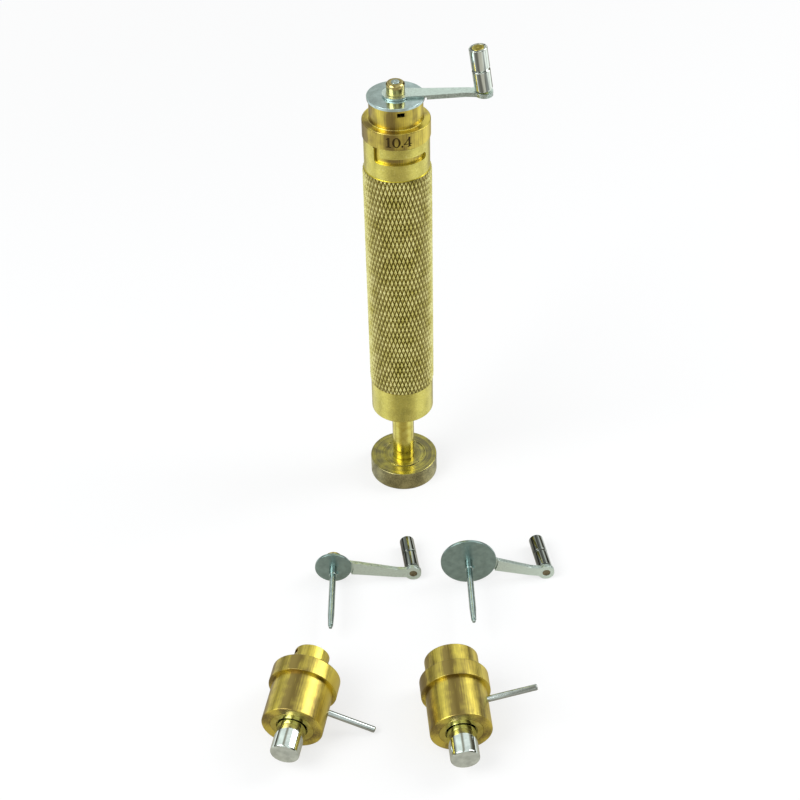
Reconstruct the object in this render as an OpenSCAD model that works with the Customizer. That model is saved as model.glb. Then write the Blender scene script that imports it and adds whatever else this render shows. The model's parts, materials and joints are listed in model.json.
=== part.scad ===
// Watch mainspring winder: a push-rod handle that holds one winding head by a
// bayonet pin, a crank in that head, two spare heads and two spare cranks.
// Millimetres. +Z runs up the handle, +X along the crank's arm, and the origin
// is the centre of the push knob's flat underside.

/* [Push knob and rod] */
// Diameter of the push knob
knob_d = 14.6; // [12:0.1:15]
// Thickness of the push knob
knob_h = 4.4; // [3:0.1:5]
// Chamfer on the push knob's edges
knob_edge = 0.25; // [0.1:0.05:0.5]
// Diameter of the turned ring in the knob's top face
knob_ring_d = 9.4; // [7:0.1:10]
// Width of that turned ring
knob_ring_w = 0.35; // [0.2:0.05:0.6]
// Depth of that turned ring
knob_ring_deep = 0.2; // [0.1:0.05:0.4]
// How far the rod is seated in the knob
knob_seat = 2.2; // [1.5:0.1:2.6]
// How much slimmer the push rod is than a head's plunger, on each side
rod_step = 0.4; // [0.2:0.05:0.8]
// Bare rod between the knob and the handle at rest
rod_bare = 14.4; // [8:0.2:16]
// Gap between the bore and the collar that stops the rod
rod_collar_gap = 0.4; // [0.2:0.05:0.9]
// Length of the collar that stops the rod
rod_collar_h = 2.0; // [1.5:0.1:3]

/* [Handle] */
// How far the plain band at the handle's foot lies inside the grip
band_in = 0.175; // [0:0.025:0.3]
// Length of the plain band
band_h = 7.6; // [5:0.2:9]
// How far the knurled grip stands out of the neck
grip_out = 0.35; // [0.2:0.05:0.8]
// Length of the knurled grip
grip_h = 52.4; // [40:0.2:60]
// Chamfer at both ends of the grip
grip_edge = 0.2; // [0.1:0.05:0.4]
// Wall of the plain neck that holds the head
neck_wall = 0.5; // [0.4:0.05:0.6]
// Length of the plain neck
neck_h = 6.9; // [6:0.1:9]
// Chamfer on the handle's outer edges
tube_edge = 0.15; // [0.05:0.05:0.3]
// Bore for the spring, as a part of the plain band's diameter
bore_part = 0.715; // [0.7:0.005:0.75]
// Step in the bore that the guide bush stops against
bore_step = 0.7; // [0.4:0.05:1]
// Length of the bush that closes the foot
end_bush_h = 4.0; // [3:0.1:5]
// How far the end bush is sunk into the foot
end_bush_sunk = 0.3; // [0.1:0.1:0.6]
// Length of the bush that guides the rod's upper end
guide_bush_h = 5.0; // [4:0.1:7]

/* [Bayonet slots] */
// Width of each bayonet slot
slot_w = 1.4; // [1.3:0.05:1.6]
// Angle between a slot's open leg and its closed end
slot_turn = 90; // [60:1:110]
// Angle that the fitted head is turned in from the open leg
slot_held = 37; // [20:1:50]
// Number of bayonet slots
slots = 2; // [1:1:2]

/* [Return spring] */
// Wire of the rod's return spring
return_wire = 0.5; // [0.4:0.05:0.7]
// Gap between the rod and its return spring
return_coil_gap = 0.6; // [0.4:0.05:0.9]
// Curls of the rod's return spring
return_curls = 14; // [10:1:16]

/* [Winding heads] */
// How far a head's collar stands out of the neck
collar_out = 0.2; // [0.1:0.05:0.4]
// Height of a head's collar
collar_h = 3.5; // [3:0.1:4.5]
// Chamfer on a collar's edges
collar_edge = 0.3; // [0.1:0.05:0.5]
// Diameter of the body that fits in the handle
body_d = 11.7; // [11.4:0.05:11.8]
// Length of the body that fits in the handle
body_h = 8.5; // [7.5:0.1:10]
// Chamfer on the body's rear edge
body_edge = 0.25; // [0.1:0.05:0.4]
// Spring chamber inside the body, as a part of the body's diameter
chamber_part = 0.71; // [0.7:0.005:0.73]
// Web between the spring chamber and the drum's floor
web_h = 1.2; // [1:0.1:1.5]
// Length of the ring that closes the body's rear
rear_ring_h = 1.2; // [1:0.1:1.6]
// Gap between the plunger and the ring that closes the body's rear
rear_gap = 0.25; // [0.15:0.05:0.3]
// Wall of a drum
drum_wall = 0.6; // [0.45:0.05:0.7]
// Chamfer on a drum's rim
drum_edge = 0.12; // [0.05:0.01:0.2]
// Width of the window for the mainspring's tail
window_w = 1.45; // [1.2:0.05:1.7]
// Height of that window
window_h = 0.85; // [0.6:0.05:1]
// Rim left above that window
window_rim = 0.45; // [0.3:0.05:0.6]
// Angle from the bayonet pin to that window
window_turn = 190; // [180:1:200]

/* [Bayonet pins] */
// Diameter of a bayonet pin
pin_d = 1.2; // [1:0.05:1.25]
// How far a bayonet pin stands out of the body
pin_out = 9.5; // [7:0.1:11]
// How deep a bayonet pin is pressed into the body
pin_seat = 1.3; // [1:0.1:1.5]
// Distance from the collar down to the pin's axis
pin_drop = 2.75; // [2.5:0.05:3.2]
// Chamfer on a bayonet pin's free end
pin_edge = 0.15; // [0.05:0.05:0.25]

/* [Ejectors] */
// Plunger, as a part of the body's diameter
plunger_part = 0.47; // [0.43:0.005:0.49]
// How far the plunger stands out of a head's rear
plunger_out = 5.9; // [5:0.1:7]
// Chamfer on the plunger's end
plunger_edge = 0.45; // [0.2:0.05:0.7]
// Thickness of the flange that keeps the plunger in
flange_h = 1.0; // [0.8:0.1:1.4]
// Diameter of the stem through the web
stem_d = 3.2; // [2.8:0.1:3.4]
// Diameter of the stem's end in the ejector disc
stem_end_d = 2.4; // [2.2:0.1:2.6]
// Thickness of the ejector disc
ejector_h = 0.6; // [0.5:0.05:0.8]
// Gap between the ejector disc's edge and the drum's wall
ejector_gap = 0.1; // [0.05:0.01:0.15]
// How far the pushed ejector stands out of the drum
ejector_proud = 0.4; // [0.2:0.1:0.6]
// Depth of the arbor's bore below the collar's underside
arbor_bore_deep = 9.8; // [9.2:0.1:12]
// Wire of a head's spring
head_wire = 0.4; // [0.3:0.05:0.5]
// Gap between a head's spring and its chamber's wall
head_coil_gap = 0.85; // [0.5:0.05:1.1]
// Curls of a head's spring
head_curls = 6; // [5:1:6]

/* [Drum sizes] */
// Outer diameter of the fitted head's drum
main_drum_d = 10.4; // [10:0.05:10.6]
// Height of the fitted head's drum
main_drum_h = 4.1; // [3.6:0.1:5]
// Outer diameter of the small spare head's drum
small_drum_d = 6.8; // [6.4:0.05:7.6]
// Height of the small spare head's drum
small_drum_h = 4.7; // [4:0.1:5.4]
// Outer diameter of the large spare head's drum
large_drum_d = 10.35; // [10:0.05:10.6]
// Height of the large spare head's drum
large_drum_h = 4.4; // [4:0.1:5]

/* [Crank arbors] */
// Diameter of an arbor along most of its length
arbor_d = 1.3; // [1.1:0.05:1.35]
// Length of an arbor below its disc
arbor_len = 16.8; // [14:0.1:17]
// Length of the taper at an arbor's tip
arbor_taper = 3.0; // [2:0.1:4]
// Diameter at the small end of that taper
arbor_tip_d = 1.0; // [0.8:0.05:1.05]
// Diameter of the pilot at an arbor's tip
pilot_d = 0.7; // [0.5:0.05:0.75]
// Length of that pilot
pilot_len = 0.6; // [0.4:0.1:0.8]
// Diameter of the core that the mainspring winds on
core_d = 1.65; // [1.4:0.05:1.8]
// Length of that core below the disc
core_len = 2.2; // [2:0.1:2.6]
// How far the hook stands out of the core
hook_out = 0.3; // [0.2:0.05:0.4]
// Height of the hook
hook_h = 0.8; // [0.6:0.05:1]
// Distance from the disc down to the hook's middle
hook_drop = 1.2; // [1:0.1:1.4]
// How far an arbor's top end shows above its hub
arbor_proud = 0.1; // [0.05:0.05:0.2]

/* [Crank discs and hubs] */
// Thickness of a crank's disc
disc_h = 0.6; // [0.5:0.05:0.7]
// Edge rounding of a crank's disc, cut as a chamfer
disc_edge = 0.1; // [0.05:0.01:0.15]
// Diameter of the fitted crank's disc
main_disc_d = 11.1; // [10.9:0.05:12]
// Diameter of the small spare crank's disc
small_disc_d = 7.5; // [7.2:0.05:8.4]
// Diameter of the large spare crank's disc
large_disc_d = 11.4; // [10.9:0.05:12]
// Diameter of a crank's hub
hub_d = 3.6; // [3.4:0.05:4]
// Height of a crank's hub
hub_h = 2.2; // [2:0.1:3.2]
// Chamfer round a hub's top
hub_edge = 0.3; // [0.1:0.05:0.4]

/* [Crank arms] */
// Distance from the arbor to the knob's axle
arm_reach = 16.6; // [14:0.1:19]
// Full thickness of an arm
arm_h = 0.9; // [0.8:0.05:1.2]
// How far an arm is relieved underneath to clear the disc
arm_relief = 0.45; // [0.3:0.05:0.5]
// Diameter of an arm's round end at the hub
arm_boss_d = 5.2; // [4.6:0.1:5.4]
// Width of an arm where it leaves the hub
arm_root_w = 3.6; // [3:0.1:4]
// Width of an arm at the disc's edge
arm_mid_w = 2.9; // [2.6:0.1:3.2]
// Width of an arm where it meets the eye
arm_end_w = 2.1; // [1.8:0.1:2.4]
// Sideways set of an arm near its eye
arm_set = 0.3; // [0:0.05:0.5]
// Diameter of an arm's eye
eye_d = 3.4; // [3.2:0.1:3.8]

/* [Crank knobs] */
// Diameter of the fitted crank's knob
main_grip_d = 3.5; // [3.2:0.1:3.8]
// Diameter of a spare crank's knob
spare_grip_d = 3.0; // [3:0.1:3.2]
// Length of a crank's knob
crank_grip_h = 8.7; // [8:0.1:11]
// Angle by which a crank's knob leans towards the hub
grip_lean = 8; // [0:0.5:10]
// Depth of the groove round a crank's knob
grip_groove_deep = 0.35; // [0.2:0.05:0.4]
// Width of that groove
grip_groove_w = 0.5; // [0.4:0.05:0.7]
// Chamfer round a knob's top
grip_top_edge = 0.25; // [0.1:0.05:0.3]
// Depth of the recess at a knob's foot
grip_foot_deep = 0.2; // [0.1:0.05:0.3]
// Length of the recess at a knob's foot
grip_foot_h = 0.3; // [0.2:0.05:0.5]
// Diameter of the axle that carries a knob
axle_d = 1.6; // [1.4:0.05:1.7]
// Diameter of an axle's head
axle_head_d = 2.3; // [2.1:0.05:2.35]
// Thickness of an axle's head
axle_head_h = 0.6; // [0.5:0.05:0.8]
// Depth of the centre mark in an axle's head
axle_mark = 0.15; // [0.1:0.05:0.25]

/* [Places of the spares] */
// Small spare head: its distance to the left of the handle's axis
small_head_x = 20.3; // [12:0.1:30]
// Small spare head: its distance in front of the handle's axis
small_head_y = 69.2; // [60:0.1:90]
// Small spare head: angle that its drum is turned to the right
small_head_yaw = 12; // [0:0.5:20]
// Small spare head: angle by which its pin droops below level
small_head_roll = 21.5; // [0:0.5:22]
// Large spare head: its distance to the right of the handle's axis
large_head_x = 8.6; // [5:0.1:20]
// Large spare head: its distance in front of the handle's axis
large_head_y = 71.1; // [60:0.1:90]
// Large spare head: angle that its drum is turned to the right
large_head_yaw = -4.5; // [-20:0.5:0]
// Large spare head: angle by which its pin droops below level
large_head_roll = -15.5; // [-20:0.5:20]
// Small spare crank: its distance to the left of the handle's axis
small_crank_x = 15.2; // [12:0.1:30]
// Small spare crank: its distance in front of the handle's axis
small_crank_y = 34.7; // [30:0.1:50]
// Small spare crank: angle that its arm is turned away from the front
small_crank_yaw = -1; // [-10:0.5:20]
// Large spare crank: its distance to the right of the handle's axis
large_crank_x = 12.7; // [8:0.1:30]
// Large spare crank: its distance in front of the handle's axis
large_crank_y = 35.8; // [30:0.1:50]
// Large spare crank: angle that its arm is turned away from the front
large_crank_yaw = 0.5; // [-10:0.5:20]

/* [Fits] */
// Radial clearance of pieces that turn or slide in each other
running_gap = 0.05; // [0.02:0.01:0.08]
// Radial clearance of pieces that are pressed or screwed together
fixed_gap = 0.02; // [0.01:0.01:0.04]
// Clearance between faces that meet end to end and move apart
face_gap = 0.05; // [0.02:0.01:0.1]

/* [Hidden] */
// How far a cut runs past the face it opens
overrun = 0.5;
// Faces round a turned piece, a tube of spring wire and one curl of a spring
$fn = 96;
wire_sides = 6;
curl_rings = 8;

// Heads and cranks: 0 is fitted to the handle, 1 is the small spare and 2 the large spare
MAIN = 0;
SMALL = 1;
LARGE = 2;
drum_ds = [main_drum_d, small_drum_d, large_drum_d];
drum_hs = [main_drum_h, small_drum_h, large_drum_h];
disc_ds = [main_disc_d, small_disc_d, large_disc_d];
grip_ds = [main_grip_d, spare_grip_d, spare_grip_d];

// Levels up the handle
rod_foot_z = knob_h - knob_seat;
foot_z = knob_h + rod_bare;
grip_z = foot_z + band_h;
neck_z = grip_z + grip_h;
rim_z = neck_z + neck_h;
head_z = rim_z + face_gap;
plunger_foot_z = head_z - body_h - plunger_out;
rod_top_z = plunger_foot_z - face_gap;
socket_z = head_z - body_h - overrun;
end_bush_z = foot_z + end_bush_sunk;
rod_collar_z = end_bush_z + end_bush_h + face_gap;
guide_bush_z = rod_top_z - guide_bush_h - drum_travel(MAIN);
socket_d = body_d + 2 * running_gap;
neck_d = socket_d + 2 * neck_wall;
grip_d = neck_d + 2 * grip_out;
band_d = grip_d - 2 * band_in;
collar_d = neck_d + 2 * collar_out;
spring_bore_d = band_d * bore_part;
plunger_bore_d = spring_bore_d - 2 * bore_step;
rod_collar_d = spring_bore_d - 2 * rod_collar_gap;
plunger_d = body_d * plunger_part;
rod_d = plunger_d - 2 * rod_step;
return_coil_d = rod_d + return_wire + 2 * return_coil_gap;

// Levels in a head, counted from its collar's underside
chamber_top = collar_h - web_h;
flange_foot = rear_ring_h + face_gap - body_h;
flange_top = flange_foot + flange_h;
chamber_d = body_d * chamber_part;
flange_d = chamber_d - 2 * running_gap;
rear_hole_d = plunger_d + 2 * rear_gap;
head_coil_d = chamber_d - head_wire - 2 * head_coil_gap;

// Levels in a crank, counted from its disc's underside
arm_seat_z = disc_h + fixed_gap;
arm_foot_z = arm_seat_z - arm_relief;
arm_top_z = arm_foot_z + arm_h;
hub_top_z = arm_top_z + fixed_gap + hub_h;

// Level of a knob's foot up its leaning axle, where it clears the flat arm all round
function grip_foot_z(kind) =
    (arm_h / 2 + face_gap + (grip_ds[kind] / 2 - grip_foot_deep) * sin(grip_lean)) / cos(grip_lean);

// How the spares lie: a head on its collar and its body's rear edge, a crank on its disc and its eye
head_tip = atan2(collar_d - body_d, 2 * body_h);
head_rest_z = collar_d / 2 * cos(head_tip) + face_gap;
function crank_lean(kind) = asin((disc_ds[kind] - eye_d) / 2 / arm_reach);
crank_tip = atan2(eye_d - spare_grip_d, 2 * crank_grip_h);
function crank_rest_z(kind) = disc_ds[kind] / 2 + disc_h * sin(crank_tip) + face_gap;

// How far an ejector travels, so that its disc stands out of the drum
function drum_travel(kind) = drum_hs[kind] - ejector_h + ejector_proud;

// A round bar with a chamfer at its foot and another at its top
module turned(d, h, foot_edge = 0, top_edge = 0) {
    rotate_extrude()
        polygon([
            [0, 0], [d / 2 - foot_edge, 0], [d / 2, foot_edge],
            [d / 2, h - top_edge], [d / 2 - top_edge, h], [0, h]
        ]);
}

// A cut for a bore, open at both ends
module through(d, from_z, to_z) {
    translate([0, 0, from_z - overrun])
        cylinder(d = d, h = to_z - from_z + 2 * overrun);
}

// A flat plate with a bore through its middle
module bored_disc(d, h, bore, edge) {
    difference() {
        turned(d, h, edge, edge);
        through(bore, 0, h);
    }
}

// A coil spring that stands on z = 0, as one tube along a helix
function coil_points(coil_d, wire, h, curls) = [
    for (i = [0 : curls * curl_rings])
        let (turn = 360 * i / curl_rings, share = i / (curls * curl_rings))
        [coil_d / 2 * cos(turn), coil_d / 2 * sin(turn), wire / 2 + (h - wire) * share]
];

function least_gap(path, wire) = min([
    for (i = [0 : len(path) - 1], j = [i + curl_rings / 2 : 1 : len(path) - 1])
        norm(path[i] - path[j])
]) - wire;

module coil(coil_d, wire, h, curls) {
    path = coil_points(coil_d, wire, h, curls);
    last = len(path) - 1;
    rise = (h - wire) / (PI * coil_d * curls);
    points = [
        for (i = [0 : last])
            let (turn = 360 * i / curl_rings,
                 out = [cos(turn), sin(turn), 0],
                 across = [sin(turn) * rise, -cos(turn) * rise, 1] / sqrt(1 + rise * rise))
            for (j = [0 : wire_sides - 1])
                let (a = 360 * j / wire_sides)
                path[i] + wire / 2 * (out * cos(a) + across * sin(a))
    ];
    sides = [
        for (i = [0 : last - 1], j = [0 : wire_sides - 1])
            let (a = i * wire_sides + j, b = i * wire_sides + (j + 1) % wire_sides)
            each [[a, a + wire_sides, b], [b, a + wire_sides, b + wire_sides]]
    ];
    ends = [
        for (j = [1 : wire_sides - 2])
            each [[0, j, j + 1], [last * wire_sides, last * wire_sides + j + 1, last * wire_sides + j]]
    ];
    polyhedron(points = points, faces = concat(sides, ends));
}

// Puts a head where it belongs, with its bayonet pin along +X of the head
module place_head(kind) {
    if (kind == MAIN)
        translate([0, 0, head_z]) rotate([0, 0, 90]) children();
    else if (kind == SMALL)
        translate([-small_head_x, -small_head_y, head_rest_z])
            rotate([head_tip - 90, 0, -small_head_yaw]) rotate([0, 0, small_head_roll]) children();
    else
        translate([large_head_x, -large_head_y, head_rest_z])
            rotate([head_tip - 90, 0, -large_head_yaw]) rotate([0, 0, large_head_roll]) children();
}

// Puts a crank where it belongs, with its arm along +X of the crank
module place_crank(kind) {
    if (kind == MAIN)
        translate([0, 0, head_z + collar_h + drum_hs[MAIN] + face_gap]) children();
    else if (kind == SMALL)
        translate([-small_crank_x, -small_crank_y, crank_rest_z(SMALL)])
            rotate([-90 - crank_tip, crank_lean(SMALL), small_crank_yaw]) children();
    else
        translate([large_crank_x, -large_crank_y, crank_rest_z(LARGE)])
            rotate([-90 - crank_tip, crank_lean(LARGE), large_crank_yaw]) children();
}

// Puts a piece on the leaning axle of a crank's knob, at mid thickness of the arm
module on_axle() {
    translate([arm_reach, 0, arm_foot_z + arm_h / 2]) rotate([0, -grip_lean, 0]) children();
}

// One bayonet slot: an open leg down from the rim and a run round the neck
module bayonet_slot() {
    run_z = rim_z - pin_drop + face_gap;
    reach = neck_d / 2 + overrun;
    inside = socket_d / 2 - overrun;
    for (turn = [0, slot_turn])
        rotate([0, 0, turn]) translate([inside, 0, run_z]) rotate([0, 90, 0])
            cylinder(d = slot_w, h = reach - inside);
    translate([inside, -slot_w / 2, run_z]) cube([reach - inside, slot_w, rim_z - run_z + overrun]);
    translate([0, 0, run_z]) rotate_extrude(angle = slot_turn)
        translate([inside, -slot_w / 2]) square([reach - inside, slot_w]);
}

module handle_tube() {
    color("goldenrod") difference() {
        rotate_extrude()
            polygon([
                [0, foot_z], [band_d / 2 - tube_edge, foot_z], [band_d / 2, foot_z + tube_edge],
                [band_d / 2, grip_z], [grip_d / 2 - grip_edge, grip_z], [grip_d / 2, grip_z + grip_edge],
                [grip_d / 2, neck_z - grip_edge], [grip_d / 2 - grip_edge, neck_z], [neck_d / 2, neck_z],
                [neck_d / 2, rim_z - tube_edge], [neck_d / 2 - tube_edge, rim_z], [0, rim_z]
            ]);
        through(plunger_bore_d, foot_z, rim_z);
        translate([0, 0, socket_z]) cylinder(d = socket_d, h = rim_z - socket_z + overrun);
        translate([0, 0, foot_z - overrun])
            cylinder(d = spring_bore_d, h = guide_bush_z + guide_bush_h - foot_z + overrun);
        for (i = [0 : slots - 1])
            rotate([0, 0, 90 - slot_held + 180 * i]) bayonet_slot();
    }
}

module end_bush() {
    color("darkgoldenrod") translate([0, 0, end_bush_z])
        bored_disc(spring_bore_d - 2 * fixed_gap, end_bush_h, rod_d + 2 * running_gap, tube_edge);
}

module guide_bush() {
    color("darkgoldenrod") translate([0, 0, guide_bush_z - fixed_gap])
        bored_disc(spring_bore_d - 2 * fixed_gap, guide_bush_h, rod_d + 2 * running_gap, tube_edge);
}

module push_rod() {
    color("gold") translate([0, 0, rod_foot_z + fixed_gap])
        turned(rod_d, rod_top_z - rod_foot_z - fixed_gap, tube_edge, tube_edge);
}

module push_knob() {
    color("darkgoldenrod") difference() {
        turned(knob_d, knob_h, knob_edge, knob_edge);
        translate([0, 0, rod_foot_z]) cylinder(d = rod_d + 2 * fixed_gap, h = knob_seat + overrun);
        translate([0, 0, knob_h - knob_ring_deep]) difference() {
            cylinder(d = knob_ring_d, h = knob_ring_deep + overrun);
            through(knob_ring_d - 2 * knob_ring_w, 0, knob_ring_deep + overrun);
        }
    }
}

module rod_collar() {
    color("gray") translate([0, 0, rod_collar_z])
        bored_disc(rod_collar_d, rod_collar_h, rod_d + 2 * fixed_gap, tube_edge);
}

module return_spring() {
    foot = rod_collar_z + rod_collar_h + face_gap;
    h = guide_bush_z - fixed_gap - face_gap - foot;
    echo(return_spring_least_gap =
        least_gap(coil_points(return_coil_d, return_wire, h, return_curls), return_wire));
    color("silver") translate([0, 0, foot]) coil(return_coil_d, return_wire, h, return_curls);
}

// A head's brass body: the drum, the collar and the part that fits in the handle
module head_body(kind) {
    drum_d = drum_ds[kind];
    rim = collar_h + drum_hs[kind];
    color("goldenrod") place_head(kind) difference() {
        rotate_extrude()
            polygon([
                [0, -body_h], [body_d / 2 - body_edge, -body_h], [body_d / 2, body_edge - body_h],
                [body_d / 2, 0], [collar_d / 2 - collar_edge / 2, 0], [collar_d / 2, collar_edge / 2],
                [collar_d / 2, collar_h - collar_edge], [collar_d / 2 - collar_edge, collar_h],
                [drum_d / 2, collar_h], [drum_d / 2, rim - drum_edge], [drum_d / 2 - drum_edge, rim],
                [0, rim]
            ]);
        translate([0, 0, collar_h]) cylinder(d = drum_d - 2 * drum_wall, h = drum_hs[kind] + overrun);
        translate([0, 0, -body_h - overrun]) cylinder(d = chamber_d, h = body_h + overrun + chamber_top);
        through(stem_d + 2 * running_gap, chamber_top, collar_h);
        translate([body_d / 2 - pin_seat, 0, -pin_drop]) rotate([0, 90, 0])
            cylinder(d = pin_d + 2 * fixed_gap, h = pin_seat + overrun);
        rotate([0, 0, window_turn])
            translate([drum_d / 2 - drum_wall - overrun, -window_w / 2, rim - window_rim - window_h])
                cube([drum_wall + 2 * overrun, window_w, window_h]);
    }
}

module head_rear_ring(kind) {
    color("darkgoldenrod") place_head(kind) translate([0, 0, -body_h])
        bored_disc(chamber_d - 2 * fixed_gap, rear_ring_h, rear_hole_d, 0);
}

module head_pin(kind) {
    color("lightgray") place_head(kind)
        translate([body_d / 2 - pin_seat + fixed_gap, 0, -pin_drop]) rotate([0, 90, 0])
            turned(pin_d, pin_seat - fixed_gap + pin_out, 0, pin_edge);
}

// A head's steel plunger with its flange, its stem and the bore for the arbor
module head_plunger(kind) {
    tail = -body_h - plunger_out;
    stem_top = collar_h + face_gap;
    color("silver") place_head(kind) difference() {
        union() {
            translate([0, 0, tail]) turned(plunger_d, flange_top - tail, plunger_edge);
            translate([0, 0, flange_foot]) cylinder(d = flange_d, h = flange_h);
            translate([0, 0, flange_foot]) cylinder(d = stem_d, h = stem_top - flange_foot);
            translate([0, 0, flange_foot]) cylinder(d = stem_end_d, h = stem_top + ejector_h - flange_foot);
        }
        translate([0, 0, -arbor_bore_deep])
            cylinder(d = arbor_d + 2 * running_gap, h = arbor_bore_deep + stem_top + ejector_h + overrun);
    }
}

module head_ejector_disc(kind) {
    color("lightgray") place_head(kind) translate([0, 0, collar_h + face_gap + fixed_gap])
        bored_disc(drum_ds[kind] - 2 * (drum_wall + ejector_gap), ejector_h - fixed_gap,
            stem_end_d + 2 * fixed_gap, 0);
}

module head_spring(kind) {
    foot = flange_top + face_gap;
    h = chamber_top - face_gap - foot;
    echo(head_spring_least_gap = least_gap(coil_points(head_coil_d, head_wire, h, head_curls), head_wire));
    color("silver") place_head(kind) translate([0, 0, foot]) coil(head_coil_d, head_wire, h, head_curls);
}

// A crank's steel arbor: pilot, taper, shank, and the core with the mainspring's hook
module crank_arbor(kind) {
    top = hub_top_z + arbor_proud;
    color("dimgray") place_crank(kind) {
        rotate_extrude()
            polygon([
                [0, -arbor_len], [pilot_d / 2, -arbor_len], [pilot_d / 2, pilot_len - arbor_len],
                [arbor_tip_d / 2, pilot_len - arbor_len], [arbor_d / 2, pilot_len + arbor_taper - arbor_len],
                [arbor_d / 2, -core_len], [core_d / 2, -core_len], [core_d / 2, top], [0, top]
            ]);
        translate([0, 0, -hook_drop - hook_h / 2]) linear_extrude(hook_h)
            polygon([[0, 0], [core_d / 2 + hook_out, 0], [0, core_d / 2]]);
    }
}

module crank_disc(kind) {
    color("lightsteelblue") place_crank(kind)
        bored_disc(disc_ds[kind], disc_h, core_d + 2 * fixed_gap, disc_edge);
}

// A crank's arm: a round end under the hub, a waisted shank and an eye for the axle
module crank_arm(kind) {
    mid_x = main_disc_d / 2;
    set_x = arm_reach - eye_d;
    color("gainsboro") place_crank(kind) difference() {
        translate([0, 0, arm_foot_z]) union() {
            cylinder(d = arm_boss_d, h = arm_h);
            translate([arm_reach, 0, 0]) cylinder(d = eye_d, h = arm_h);
            linear_extrude(arm_h) polygon([
                [0, -arm_root_w / 2], [mid_x, -arm_mid_w / 2], [set_x, arm_set - arm_end_w / 2],
                [arm_reach, -arm_end_w / 2], [arm_reach, arm_end_w / 2], [set_x, arm_set + arm_end_w / 2],
                [mid_x, arm_mid_w / 2], [0, arm_root_w / 2]
            ]);
        }
        translate([0, 0, arm_foot_z - overrun])
            cylinder(d = disc_ds[kind] + 2 * arm_relief, h = arm_relief + overrun);
        through(core_d + 2 * fixed_gap, arm_foot_z, arm_top_z);
        on_axle() through(axle_d + 2 * fixed_gap, -arm_h, arm_h);
    }
}

module crank_hub(kind) {
    color("darkgoldenrod") place_crank(kind) translate([0, 0, arm_top_z + fixed_gap]) difference() {
        turned(hub_d, hub_h, hub_edge / 2, hub_edge);
        through(core_d + 2 * fixed_gap, 0, hub_h);
    }
}

// The headed axle that is riveted in the eye and carries the knob
module crank_axle(kind) {
    foot = fixed_gap - arm_h / 2;
    head = grip_foot_z(kind) + crank_grip_h - axle_head_h;
    color("khaki") place_crank(kind) on_axle() difference() {
        union() {
            translate([0, 0, foot]) cylinder(d = axle_d, h = head - foot);
            translate([0, 0, head]) turned(axle_head_d, axle_head_h);
        }
        translate([0, 0, head + axle_head_h - axle_mark])
            cylinder(d = axle_mark * 2, h = axle_mark + overrun);
    }
}

// A crank's knob: a sleeve in two sections with a groove between them
module crank_knob(kind) {
    r = grip_ds[kind] / 2;
    mid = crank_grip_h / 2;
    bore = axle_d + 2 * running_gap;
    head_bore = axle_head_d + 2 * running_gap;
    color("whitesmoke") place_crank(kind) on_axle() translate([0, 0, grip_foot_z(kind)]) difference() {
        rotate_extrude()
            polygon([
                [0, 0], [r - grip_foot_deep, 0], [r - grip_foot_deep, grip_foot_h], [r, grip_foot_h],
                [r, mid - grip_groove_w / 2], [r - grip_groove_deep, mid], [r, mid + grip_groove_w / 2],
                [r, crank_grip_h - grip_top_edge], [r - grip_top_edge, crank_grip_h], [0, crank_grip_h]
            ]);
        through(bore, 0, crank_grip_h);
        translate([0, 0, crank_grip_h - axle_head_h - face_gap])
            cylinder(d = head_bore, h = axle_head_h + face_gap + overrun);
    }
}

handle_tube();
end_bush();
guide_bush();
push_rod();
push_knob();
rod_collar();
return_spring();
head_body(MAIN);  // main_head_body
head_rear_ring(MAIN);  // main_head_rear_ring
head_pin(MAIN);  // main_head_pin
head_plunger(MAIN);  // main_head_plunger
head_ejector_disc(MAIN);  // main_head_ejector_disc
head_spring(MAIN);  // main_head_spring
crank_arbor(MAIN);  // main_crank_arbor
crank_disc(MAIN);  // main_crank_disc
crank_arm(MAIN);  // main_crank_arm
crank_hub(MAIN);  // main_crank_hub
crank_axle(MAIN);  // main_crank_axle
crank_knob(MAIN);  // main_crank_knob
head_body(SMALL);  // small_head_body
head_rear_ring(SMALL);  // small_head_rear_ring
head_pin(SMALL);  // small_head_pin
head_plunger(SMALL);  // small_head_plunger
head_ejector_disc(SMALL);  // small_head_ejector_disc
head_spring(SMALL);  // small_head_spring
head_body(LARGE);  // large_head_body
head_rear_ring(LARGE);  // large_head_rear_ring
head_pin(LARGE);  // large_head_pin
head_plunger(LARGE);  // large_head_plunger
head_ejector_disc(LARGE);  // large_head_ejector_disc
head_spring(LARGE);  // large_head_spring
crank_arbor(SMALL);  // small_crank_arbor
crank_disc(SMALL);  // small_crank_disc
crank_arm(SMALL);  // small_crank_arm
crank_hub(SMALL);  // small_crank_hub
crank_axle(SMALL);  // small_crank_axle
crank_knob(SMALL);  // small_crank_knob
crank_arbor(LARGE);  // large_crank_arbor
crank_disc(LARGE);  // large_crank_disc
crank_arm(LARGE);  // large_crank_arm
crank_hub(LARGE);  // large_crank_hub
crank_axle(LARGE);  // large_crank_axle
crank_knob(LARGE);  // large_crank_knob
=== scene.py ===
"""Looks of a watch mainspring winder with its spare heads and cranks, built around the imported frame.

Sizes are in millimetres until a mesh or a place is made, and in metres from there on.
"""

import json
from math import asin, atan2, ceil, cos, degrees, pi, radians, sin, tan

import bmesh
import bpy
from mathutils import Euler, Matrix, Vector


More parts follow.
